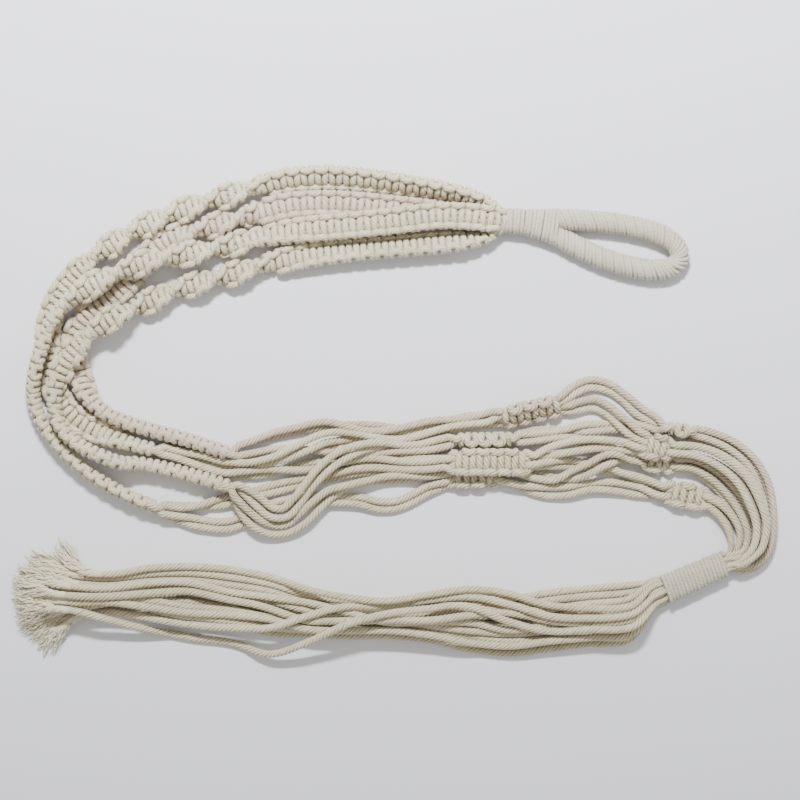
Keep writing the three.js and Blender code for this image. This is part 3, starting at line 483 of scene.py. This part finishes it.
def rope(centres, radius, sides=18, strands=5, depth=0.32, lay=LAY, tone=0.0, phase=0.0,
         pressed=None, contact_shade=0.9):
    """Points, faces and surface data of one laid rope round a line of points. It has painted shade
    in the grooves between its strands, and where it faces along pressed, towards its neighbour in a knot."""
    count = len(centres)
    tangents, normals = carried_frames(centres)
    across = np.cross(tangents, normals)
    run = np.concatenate([[0], np.cumsum(np.linalg.norm(np.diff(centres, axis=0), axis=1))])
    around = np.arange(sides) * 2 * np.pi / sides
    valley = (1 - np.abs(np.sin(strands * around / 2))) if strands else np.zeros(sides)
    reach = np.broadcast_to(radius, (count,))[:, None] * (1 - depth * valley)
    angle = around - (2 * np.pi * run / lay + phase)[:, None]
    outward = normals[:, None] * np.cos(angle)[..., None] + across[:, None] * np.sin(angle)[..., None]
    points = centres[:, None] + outward * reach[..., None]
    quads, tris = tube_faces(count, sides)

    # Painted shade in the valleys between the strands.
    painted_shade = np.tile(3.2 * depth * valley, (count, 1))
    if pressed is not None:
        # Painted shade where the rope faces along pressed, towards its neighbour.
        towards = np.abs((outward * pressed[:, None]).sum(axis=-1))
        painted_shade = np.maximum(painted_shade, contact_shade * smoothstep(towards, 0.66, 0.97))
    along = np.broadcast_to(run[:, None] + 37 * phase, (count, sides))
    lay_data = np.stack([reach * np.cos(around), reach * np.sin(around), along], axis=-1)
    return {
        "points": np.vstack([points.reshape(-1, 3), centres[:1], centres[-1:]]),
        "quads": quads,
        "tris": tris,
        "lay": np.vstack([lay_data.reshape(-1, 3), [[0, 0, 0], [0, 0, run[-1]]]]),
        "painted_shade": np.concatenate([painted_shade.ravel(), [0, 0]]),
        "tone": np.full(count * sides + 2, tone),
    }


def make_piece(name, ropes, slot):
    """One object from several ropes, smooth shaded, with the surface data that its material reads."""
    offsets = np.cumsum([0] + [len(r["points"]) for r in ropes[:-1]])
    points = np.vstack([r["points"] for r in ropes]) * MM
    quads = np.vstack([r["quads"] + offset for r, offset in zip(ropes, offsets)])
    tris = np.vstack([r["tris"] + offset for r, offset in zip(ropes, offsets)])
    corners = np.concatenate([quads.ravel(), tris.ravel()])
    starts = np.concatenate([np.arange(len(quads)) * 4, 4 * len(quads) + np.arange(len(tris)) * 3])
    mesh = bpy.data.meshes.new(name)
    mesh.vertices.add(len(points))
    mesh.vertices.foreach_set("co", points.ravel())
    mesh.loops.add(len(corners))
    mesh.loops.foreach_set("vertex_index", corners)
    mesh.polygons.add(len(starts))
    mesh.polygons.foreach_set("loop_start", starts)
    mesh.polygons.foreach_set("use_smooth", np.ones(len(starts), bool))
    for label, kind, field in (("lay", "FLOAT_VECTOR", "vector"), ("painted_shade", "FLOAT", "value"),
                               ("tone", "FLOAT", "value")):
        values = np.concatenate([r[label].ravel() for r in ropes])
        mesh.attributes.new(label, kind, "POINT").data.foreach_set(field, values)
    mesh.update(calc_edges=True)
    mesh.validate()
    mesh.materials.append(MATERIALS[slot])
    piece = bpy.data.objects.new(name, mesh)
    bpy.context.scene.collection.objects.link(piece)
    return piece


def resample(points, step):
    """Evenly spaced points on the smooth line through the given ones."""
    route = Route(points)
    return route.at(np.linspace(0, route.length, max(3, int(round(route.length / step)) + 1)))[0]


# ---------------------------------------------------------------- knots
# Points of a half knot, as distance from its middle, aside and up. The front cord comes up at one
# side, crosses over the fillers and goes down at the other. The back cord goes from behind the
# fillers round the side and up over the front cord's end, then back down at the next half knot.
FRONT_BAR = [(-0.3, 3.0, 0.2), (-0.1, 1.8, 1.65), (0, 0, 2.0), (0.1, -1.8, 1.65), (0.3, -3.0, 0.2)]
FRONT_TUCKED = (4.2, -1.2)          # aside and up, between two half knots
BACK_RISE = [(0, 3.8, -1.6), (-0.4, 5.1, -0.4), (-0.5, 5.3, 1.1), (0.4, 4.9, 2.15)]
BACK_CROSSING = -2.05
KNOT_SIDE = 4.9                     # how far aside a working cord enters and leaves
FILLER_SIDE = 1.55
EDGE_FROM = 4.5                     # what lies farther aside is a knot's edge


def square_knots(start, end):
    """The four cords of a flat sinnet, as distance along, aside and up. The front cord crosses the
    fillers at every half knot; the back cord runs over its ends at the sides and crosses behind."""
    halves = max(2, int(round((end - start) / HALF_KNOT)))
    pitch = (end - start) / halves
    middles = [(k + 0.5) * pitch for k in range(halves)]
    front = [(0, -KNOT_SIDE, 0)]
    back = [(0, KNOT_SIDE, 0), (middles[0], 0, BACK_CROSSING)]
    for k, here in enumerate(middles):
        side = -1 if k % 2 == 0 else 1
        front += [(here + s, side * aside, up) for s, aside, up in FRONT_BAR]
        if k + 1 < halves:
            beyond = middles[k + 1]
            front += [(here + 0.5 * pitch, -side * FRONT_TUCKED[0], FRONT_TUCKED[1])]
            back += [(here + s, side * aside, up) for s, aside, up in BACK_RISE]
            back += [(beyond - s, side * aside, up) for s, aside, up in reversed(BACK_RISE)]
            back += [(beyond, 0, BACK_CROSSING)]
    front += [(end - start, -side * KNOT_SIDE, 0)]
    back += [(end - start, side * KNOT_SIDE, 0)]
    return with_fillers(start, end, front, back)


def with_fillers(start, end, front, back):
    """The two working cords and the two straight cords inside, moved to where the sinnet starts."""
    middle = np.linspace(0, end - start, max(3, int((end - start) / 3)))
    fillers = [[(s, aside, 0) for s in middle] for aside in (-FILLER_SIDE, FILLER_SIDE)]
    lines = [np.array(line, float) for line in (front, back, *fillers)]
    for line in lines:
        line[:, 0] += start
    return lines


def turning_knots(route, start, end):
    """The four cords of a sinnet that turns about its own length. Wherever it turns over, its
    half knots change faces, so the crossings are always on the side that shows."""
    s = np.arange(start, end, 0.5)
    upward = np.where(np.cos(route.at(s)[2]) >= 0, 1, -1)
    turns = [start, *s[1:][np.diff(upward) != 0], end]
    turns = [turn for i, turn in enumerate(turns) if i in (0, len(turns) - 1) or
             (turn - start > HALF_KNOT and end - turn > HALF_KNOT)]
    working = {-1: [], 1: []}
    for low, high in zip(turns, turns[1:]):
        face = 1 if math.cos(route.at([0.5 * (low + high)])[2][0]) >= 0 else -1
        continued = {}
        for line in square_knots(low, high)[:2]:
            flipped = line * (1, face, face)
            first = -1 if flipped[0][1] < 0 else 1
            last = -1 if flipped[-1][1] < 0 else 1
            continued[last] = working[first] + list(flipped)
        working = continued
    for side, line in working.items():
        line = np.array(line)
        edge = np.abs(line[:, 1]) > EDGE_FROM
        tilt = np.abs(np.cos(route.at(line[:, 0])[2]))
        line[:, 2] *= np.where(edge, 0.25 + 0.75 * tilt, 1)
        working[side] = line - (start, 0, 0)
    return with_fillers(start, end, *working.values())


def sinnet_ropes(route, lines, tone, phase):
    """The two working cords and the two fillers of a sinnet. They are thinner where the sinnet is
    squeezed, don't sink into the floor, and have painted shade between the knots, on the faces that look
    along the sinnet."""
    ropes = []
    # Each cord's radius, the distance between its rings, and its sides and strands.
    kinds = [(KNOTTED, 0.85, 18, 5)] * 2 + [(FILLER, 1.6, 8, 0)] * 2
    for i, (line, (thick, step, sides, strands)) in enumerate(zip(lines, kinds)):
        local = resample(line, step)
        wide, high = route.at(local[:, 0])[3:]
        radius = thick * np.clip(0.5 * (wide + high), 0.55, 1)
        world = place(route, local)
        world[:, 2] = np.maximum(world[:, 2], 0.95 * radius)
        # Painted shade on the faces that look along the sinnet, towards the next half knot.
        ropes.append(rope(world, radius, sides, strands, depth=0.17, tone=tone + 0.03 * (i % 3 - 1),
                          phase=phase + 1.7 * i, pressed=route.frames(local[:, 0])[1], contact_shade=0.85))
    return ropes


# ---------------------------------------------------------------- arms
SLOTS = {"a": "cotton", "b": "blush_cotton", "c": "cotton", "d": "cotton"}
ARM_START = -3.5                    # the sinnets start inside the neck's winding
arm_routes = {}
for number, (arm, parts) in enumerate(ARMS.items()):
    whole = settle(parts["flat"] + parts["spiral"] + parts["lower"], SINNET_CORNERS)
    arm_routes[arm] = whole
    flat_end = Route(parts["flat"]).length + 0.5 * SINNET_GAP
    lower_start = whole.length - Route(parts["lower"]).length - 0.5 * SINNET_GAP
    spans = {
        "flat": (ARM_START, flat_end),
        "spiral": (flat_end, lower_start),
        "lower": (lower_start, whole.length),
    }
    for part, (start, end) in spans.items():
        node = f"arm_{arm}_{part}_sinnet"
        lines = turning_knots(whole, start, end)
        piece = make_piece(f"{node}_rope", sinnet_ropes(whole, lines, 0.02 * number, number), SLOTS[arm])
        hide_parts(node)
        if part == "flat":
            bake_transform(piece)
        else:
            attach(piece, "folded_hanger")


# ---------------------------------------------------------------- windings
def winding(name, node, route, start, end, half_wide, half_high, square, lean, pairing, tone=0.0,
            uneven=1.0):
    """A thin cord wound closely round a bundle, each turn leaning, and every other one pushed along.
    The bundle's outline is a superellipse of the power square, so 2 is an ellipse. Slow waves keep
    the turns a little uneven, as hands make them."""
    thick = 0.6 * TURN          # more than half a turn, so that the turns press on each other
    turns = (end - start) / TURN
    angle = np.linspace(0, 2 * np.pi * turns, int(turns * 22))
    cosine, sine = np.cos(angle), np.sin(angle)
    aside = np.sign(cosine) * np.abs(cosine) ** (2 / square)
    up = np.sign(sine) * np.abs(sine) ** (2 / square)
    paired = pairing * np.sin(angle / 2) ** 2
    loose = uneven * (0.16 * np.sin(0.37 * angle) + 0.12 * np.sin(0.83 * angle + 1))
    s = start + (end - start) * angle / angle[-1] + lean * cosine + paired + loose
    swell = 1 + 0.02 * np.sin(0.61 * angle) + 0.015 * np.sin(0.23 * angle + 2)
    line = place(route, np.column_stack([s, half_wide * swell * aside, half_high * swell * up]))
    line[:, 2] = np.maximum(line[:, 2], thick + 0.02)
    even = resample(line, FINE_STEP)
    s = np.interp(np.linspace(0, 1, len(even)), np.linspace(0, 1, len(line)), s)
    # Painted shade where a turn faces along the bundle, towards the next turns.
    yarn = rope(even, thick, 9, strands=3, depth=0.12, lay=5.3, pressed=route.frames(s)[1], contact_shade=0.6,
                tone=tone)
    piece = make_piece(name, [yarn], "whipping")
    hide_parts(node)
    return piece


BUNDLE_CORD = 1.7                   # radius of the loop's inner cords, and how far they lie from its middle
loop_route = Route(LOOP)
bundle = []
for k in range(4):
    angle = math.pi / 4 + k * math.pi / 2
    aside, up = BUNDLE_CORD * math.cos(angle), BUNDLE_CORD * math.sin(angle)
    line = [(s, aside, up) for s in np.arange(0, loop_route.length, 2.5)]
    bundle.append(rope(resample(place(loop_route, line), 1.6), BUNDLE_CORD, 12, strands=4, phase=k))
piece = make_piece("loop_bundle", bundle, "cotton")
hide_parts("loop_cord_bundle")
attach(piece, "hanging_loop")

UNDER_NECK = 7                      # the loop's winding runs on under the neck's winding
piece = winding("loop_winding", "loop_wrap", loop_route, NECK_COVER - UNDER_NECK,
                loop_route.length - NECK_COVER + UNDER_NECK, half_wide=4.4, half_high=4.3, square=2,
                lean=-1.6, pairing=0.4)
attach(piece, "hanging_loop")
neck_route = Route(NECK)
piece = winding("neck_winding", "neck_wrap", neck_route, -2, neck_route.length + 0.3, half_wide=5.3,
                half_high=4.7, square=2.6, lean=0.3, pairing=0.1)
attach(piece, "hanging_loop")

along = (GATHER_IN - GATHER_OUT) / np.linalg.norm(GATHER_IN - GATHER_OUT)


def at_mouth(mouth, out, aside, up):
    """The point out beyond a mouth, aside to the left of the way to the cradle, and up."""
    return [mouth[0] + out * along[0] - aside * along[1], mouth[1] + out * along[1] + aside * along[0],
            GATHER_HEIGHT + up]


gather_route = Route([[*GATHER_OUT, GATHER_HEIGHT, 0, 1.2, 1], [*GATHER_IN, GATHER_HEIGHT, 0, 1, 1]])
piece = winding("gather_winding", "gather_wrap", gather_route, 0.4, gather_route.length - 0.4,
                half_wide=5.4, half_high=4.7, square=2.6, lean=0.9, pairing=0.1, tone=0.13, uneven=0.3)
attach(piece, "folded_hanger")


# ---------------------------------------------------------------- cradle
def in_section(route, s, point):
    """How far a point lies aside in the route's section at a distance along it."""
    centre, _, left, _ = (v[0] for v in route.frames([s]))
    return (point - centre) @ left / (left @ left)


pair_routes = {name: settle(rows, PAIR_CORNERS) for name, rows in PAIRS.items()}
knot_routes = {name: settle(rows, SINNET_CORNERS) for name, rows in KNOTS.items()}


def pair_line(name, side, trim_start, trim_end):
    """One cord of a pair: the two lie side by side, part a little and lean over each other."""
    route = pair_routes[name]
    number = list(PAIRS).index(name)
    s = np.arange(trim_start, route.length - trim_end, 2.2)
    share = s / route.length
    free = np.sin(math.pi * share) ** 0.7
    apart = 1.9 * (1 + 0.22 * free * (1 + math.sin(2.3 * number)))
    lean = 0.75 * free * np.sin(s / (9 + number % 4) + 1.3 * number)
    return place(route, np.column_stack([s, side * apart * np.cos(lean), side * apart * np.sin(lean)]))


def four_route(name):
    """The way of four cords from a lower knot into the gathering wrap and out of it."""
    four = FOURS[name]
    inside = [[*at_mouth(mouth, out, four["aside"], four["up"]), 0, 0.48]
              for out, mouth in ((2.4, GATHER_IN), (0, GATHER_IN), (-12, GATHER_IN), (0.4, GATHER_OUT))]
    return settle(four["rows"] + inside, FOUR_CORNERS)


four_routes = {name: four_route(name) for name in FOURS}


def four_line(name, aside, up):
    """One cord of a bundle of four, which part in the open and twist before the gathering wrap."""
    route = four_routes[name]
    s = np.arange(3.0, route.length - 4, 2.2)
    share = s / route.length
    turn = 0.3 * np.sin(s / 23 + 2 * float(name[-1])) + 3.7 * smoothstep(share, 0.6, 0.98)
    cosine, sine = np.cos(turn), np.sin(turn)
    apart = 1.85 * (1 + 0.45 * np.sin(math.pi * np.clip(share / 0.7, 0, 1)))
    return place(route, np.column_stack([s, apart * (aside * cosine - up * sine),
                                         1.75 * (aside * sine + up * cosine)]))


def through_knot(knot, incoming, outgoing):
    """Matches cords to the knot's four lines by their order across it. Returns the world lines of
    the incoming cords and the outgoing cord that each becomes."""
    route = knot_routes[knot]
    lines = square_knots(0, route.length)
    first = sorted(range(4), key=lambda i: lines[i][0][1])
    last = sorted(range(4), key=lambda i: lines[i][-1][1])
    came = sorted(incoming, key=lambda cord: in_section(route, 0, incoming[cord]))
    goes = sorted(outgoing, key=lambda cord: in_section(route, route.length, outgoing[cord]))
    paths, follows = {}, {}
    for cord, i in zip(came, first):
        paths[cord] = place(route, resample(lines[i], 1.3))
        follows[cord] = goes[last.index(i)]
    return paths, follows


# Each cord is known by the pair it starts in and its side in it. Its line grows from stretch to
# stretch, and at holds the pair and side that it has reached.
cords = {}
for name in PAIRS:
    if name.startswith("arm"):
        for side in (-1, 1):
            cords[(name, side)] = {"line": [pair_line(name, side, 3.5, 2.5)], "nodes": [f"cords_{name}"],
                                   "arm": name[4], "at": (name, side)}
for arm, route in arm_routes.items():
    own = sorted((key for key in cords if cords[key]["arm"] == arm),
                 key=lambda key: in_section(route, route.length, cords[key]["line"][0][0]))
    for aside, key in zip((-4.2, -1.5, 1.5, 4.2), own):
        lead = place(route, [(route.length - 4, aside, 0), (route.length - 1.5, aside, 0),
                             (route.length + 0.8, 0.85 * aside, 0)])
        cords[key]["line"].insert(0, lead)


def ends_at(number):
    """The cords that have reached a knot, and the last point of each."""
    return {key: cord["line"][-1][-1] for key, cord in cords.items()
            if cord["at"][0].endswith(f"knot_{number}")}


for number in range(1, 5):
    knot = f"upper_knot_{number}"
    outgoing = {(name, side): pair_line(name, side, 3, 3)[0]
                for name in PAIRS if name.startswith(f"knot_{number}") for side in (-1, 1)}
    paths, follows = through_knot(knot, ends_at(number), outgoing)
    for key, path in paths.items():
        name, side = follows[key]
        cords[key]["line"] += [path, pair_line(name, side, 3, 2.5)]
        cords[key]["nodes"] += [knot, f"cords_{name}"]
        cords[key]["at"] = (name, side)

for number, name in enumerate(FOURS, start=5):
    knot = f"lower_knot_{number - 4}"
    lanes = [four_line(name, aside, up) for aside, up in ((-1, -1), (1, -1), (-1, 1), (1, 1))]
    outgoing = {i: lane[0] for i, lane in enumerate(lanes)}
    paths, follows = through_knot(knot, ends_at(number), outgoing)
    for key, path in paths.items():
        cords[key]["line"] += [path, lanes[follows[key]]]
        cords[key]["nodes"] += [knot, f"cords_from_{name}"]


def in_knots(line, names):
    """For each of a line's points that lies in a knot, the direction along the knot; zero elsewhere."""
    pressed = np.zeros_like(line)
    for name in names:
        route = knot_routes[name]
        centres, tangents = route.frames(np.linspace(1, route.length - 1, 40))[:2]
        gap = np.linalg.norm(line[:, None] - centres[None], axis=2)
        inside = gap.min(axis=1) < 7
        pressed[inside] = tangents[gap.argmin(axis=1)[inside]]
    return pressed


for number, (key, cord) in enumerate(sorted(cords.items())):
    line = resample(np.vstack(cord["line"]), FINE_STEP)
    line[:, 2] = np.maximum(line[:, 2], 1.9)
    near = np.linalg.norm(line[:, :2] - GATHER_IN, axis=1)
    radius = ROPE * np.interp(near, (2, 22), (0.66, 1))
    pressed = in_knots(line, [name for name in cord["nodes"] if name in knot_routes])
    # Painted shade where a cord faces along a knot, towards its neighbour in it.
    body = rope(line, radius, tone=0.05 * math.sin(5.1 * number), phase=number, pressed=pressed, contact_shade=1.1)
    piece = make_piece(f"cradle_cord_{number + 1}", [body], SLOTS[cord["arm"]])
    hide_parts(*cord["nodes"])
    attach(piece, "folded_hanger")


# ---------------------------------------------------------------- tassel
LAY_STEP = 2.0              # between a cord's points while it is laid down
LEAD_OUT = 20.0             # length in which a cord comes down from the wrap's mouth
JOINT_GAP = 2.6             # from the wrap to where the CAD model's tassel cords start
FRAY_LENGTH = 27            # from where a rope's yarns come loose to the tassel's end
FRAY_COVER = 5              # the rope ends this far inside its loose yarns
TASSEL_MIDDLE = -94
FAN = 0.22                  # how much the ends lean away from the tassel's middle


def drop(distance):
    """How far a laid cord may drop within a distance of a place where another holds it up."""
    bend = 12
    return np.where(distance < bend, distance ** 2 / 60, bend ** 2 / 60 + 0.4 * (distance - bend))


def lay_down(plans):
    """Lays the cords one by one. Each rests on the floor or on the cords already there."""
    laid = np.empty((0, 3))
    free = int(round(0.8 * LEAD_OUT / LAY_STEP))
    reach = CORD + GAP
    lines = []
    for plan in plans:
        aside, up = plan["mouth"]
        leave = [at_mouth(GATHER_OUT, out, aside, up) for out in (-JOINT_GAP, -JOINT_GAP - 4)]
        flat = Route([[p[0], p[1], 0] for p in [*leave, *zip(STATIONS, plan["y"]), plan["tip"]]])
        count = int(round(flat.length / LAY_STEP))
        points = flat.at(np.linspace(0, flat.length, count + 1))[0]
        needed = np.full(len(points), CORD / 2 + FLOOR_GAP)
        for i in range(free, len(points)):
            gap = np.hypot(laid[:, 0] - points[i, 0], laid[:, 1] - points[i, 1])
            near = gap < reach
            if near.any():
                needed[i] = max(needed[i], (laid[near, 2] + np.sqrt(reach ** 2 - gap[near] ** 2)).max())
        order = np.arange(len(points))
        rest = (needed[None, :] - drop(LAY_STEP * np.abs(order[:, None] - order[None, :]))).max(axis=1)
        lead = smoothstep(order * LAY_STEP, 0, LEAD_OUT)
        points[:, 2] = (GATHER_HEIGHT + up) * (1 - lead) + rest * lead
        laid = np.vstack([laid, points[free:]])
        lines.append(points)
    return lines


YARNS = 54
THICK_YARNS = 22
YARN_SHARES = (0, 0.3, 0.8, 1)      # places along a yarn for its radii
THICK_RADII = (0.5, 0.56, 0.48, 0.22)
FINE_RADII = (0.26, 0.2, 0.15, 0.06)


def fray(line, number, fan):
    """The rope's yarns beyond its last firm place, untwisted into loose waves that lean to one side."""
    random = np.random.default_rng(900 + number)
    route = Route(line)
    ropes = []
    for k in range(YARNS):
        fine = k >= THICK_YARNS
        own = FRAY_LENGTH * random.uniform(0.8, 1.15)
        s = np.linspace(0, own, int(own / FINE_STEP) + 3)
        share = s / own
        angle = k * 2.4 + random.uniform(-0.3, 0.3)
        start = 1.3 if k % 3 else 0.6
        swing = random.uniform(0.2, 0.6) * smoothstep(share, 0.05, 0.7)
        wave = 2 * np.pi * s / random.uniform(7, 12) + angle
        spread = (random.uniform(-1, 1) * (7 if fine else 5.4) + fan) * share ** 1.6
        turn = angle - 2 * np.pi * s / 12
        aside = start * np.cos(turn) * (1 - 0.4 * share) + swing * np.cos(wave) + spread
        up = start * np.sin(turn) * (1 - 0.4 * share) + 0.6 * swing * np.sin(wave)
        points, _, left, _ = route.frames(route.length - FRAY_LENGTH + s)
        points = points + left * aside[:, None]
        points[:, 2] = points[:, 2] * (1 - 0.3 * smoothstep(share, 0.2, 1)) + up
        radius = np.interp(share, YARN_SHARES, FINE_RADII if fine else THICK_RADII)
        points[:, 2] = np.maximum(points[:, 2], radius)
        ropes.append(rope(points, radius, 6, strands=0, lay=4, tone=random.uniform(-0.42, -0.05),
                          phase=angle))
    return ropes


for number, points in enumerate(lay_down(TASSEL)):
    aside, up = TASSEL[number]["mouth"]
    inside = at_mouth(GATHER_OUT, 3, 0.7 * aside, 0.7 * up)
    line = resample(np.vstack([[inside], points]), FINE_STEP)
    run = np.arange(len(line)) * FINE_STEP
    radius = ROPE * np.interp(run, (0, 4, 26), (0.6, 0.62, 1))
    cover = FRAY_LENGTH - FRAY_COVER
    radius *= np.interp(run[-1] - run, (cover, cover + 11), (0.75, 1))
    line[:, 2] = np.maximum(line[:, 2], 0.98 * radius)
    firm = len(line) - int(cover / FINE_STEP)
    body = rope(line[:firm], radius[:firm], tone=0.05 * math.sin(3.7 * number + 1), phase=2.1 * number)
    piece = make_piece(f"tassel_rope_{number + 1}", [body], "cotton")
    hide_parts(f"tassel_cord_{number + 1}")
    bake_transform(piece)
    yarns = fray(line, number, FAN * (TASSEL_MIDDLE - line[-1, 1]))
    loose = make_piece(f"tassel_fray_{number + 1}", yarns, "cotton")
    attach(loose, "tassel")


# ---------------------------------------------------------------- floor and light
FLOOR_REACH = 9             # metres from the middle to the floor's edges
floor_mesh = bpy.data.meshes.new("floor")
floor_corners = [(x * FLOOR_REACH, y * FLOOR_REACH, 0) for x, y in ((-1, -1), (1, -1), (1, 1), (-1, 1))]
floor_mesh.from_pydata(floor_corners, [], [(0, 1, 2, 3)])
floor = bpy.data.objects.new("floor", floor_mesh)
bpy.context.scene.collection.objects.link(floor)
paper = bpy.data.materials.new("floor")
paper.use_nodes = True
paper_shader = paper.node_tree.nodes["Principled BSDF"]
paper_shader.inputs["Base Color"].default_value = (0.755, 0.755, 0.81, 1)
paper_shader.inputs["Roughness"].default_value = 0.85
floor_mesh.materials.append(paper)

world = bpy.data.worlds.new("studio")
world.use_nodes = True
world.node_tree.nodes["Background"].inputs["Color"].default_value = (1, 0.99, 0.94, 1)
world.node_tree.nodes["Background"].inputs["Strength"].default_value = 0.68
bpy.context.scene.world = world


def soft_light(name, location, size, power):
    """A round lamp at a place, in metres, that faces the origin."""
    light = bpy.data.lights.new(name, "AREA")
    light.shape = "DISK"
    light.size = size
    light.energy = power
    light.color = (0.975, 0.99, 1.0)
    lamp = bpy.data.objects.new(name, light)
    lamp.location = location
    x, y, z = location
    lamp.rotation_euler = (math.atan2(math.hypot(x, y), z), 0, math.atan2(-x, y))
    bpy.context.scene.collection.objects.link(lamp)


soft_light("window", (-0.05, 0.62, 0.98), 0.24, 60)
soft_light("fill", (1.0, 0.5, 1.4), 1.4, 12)
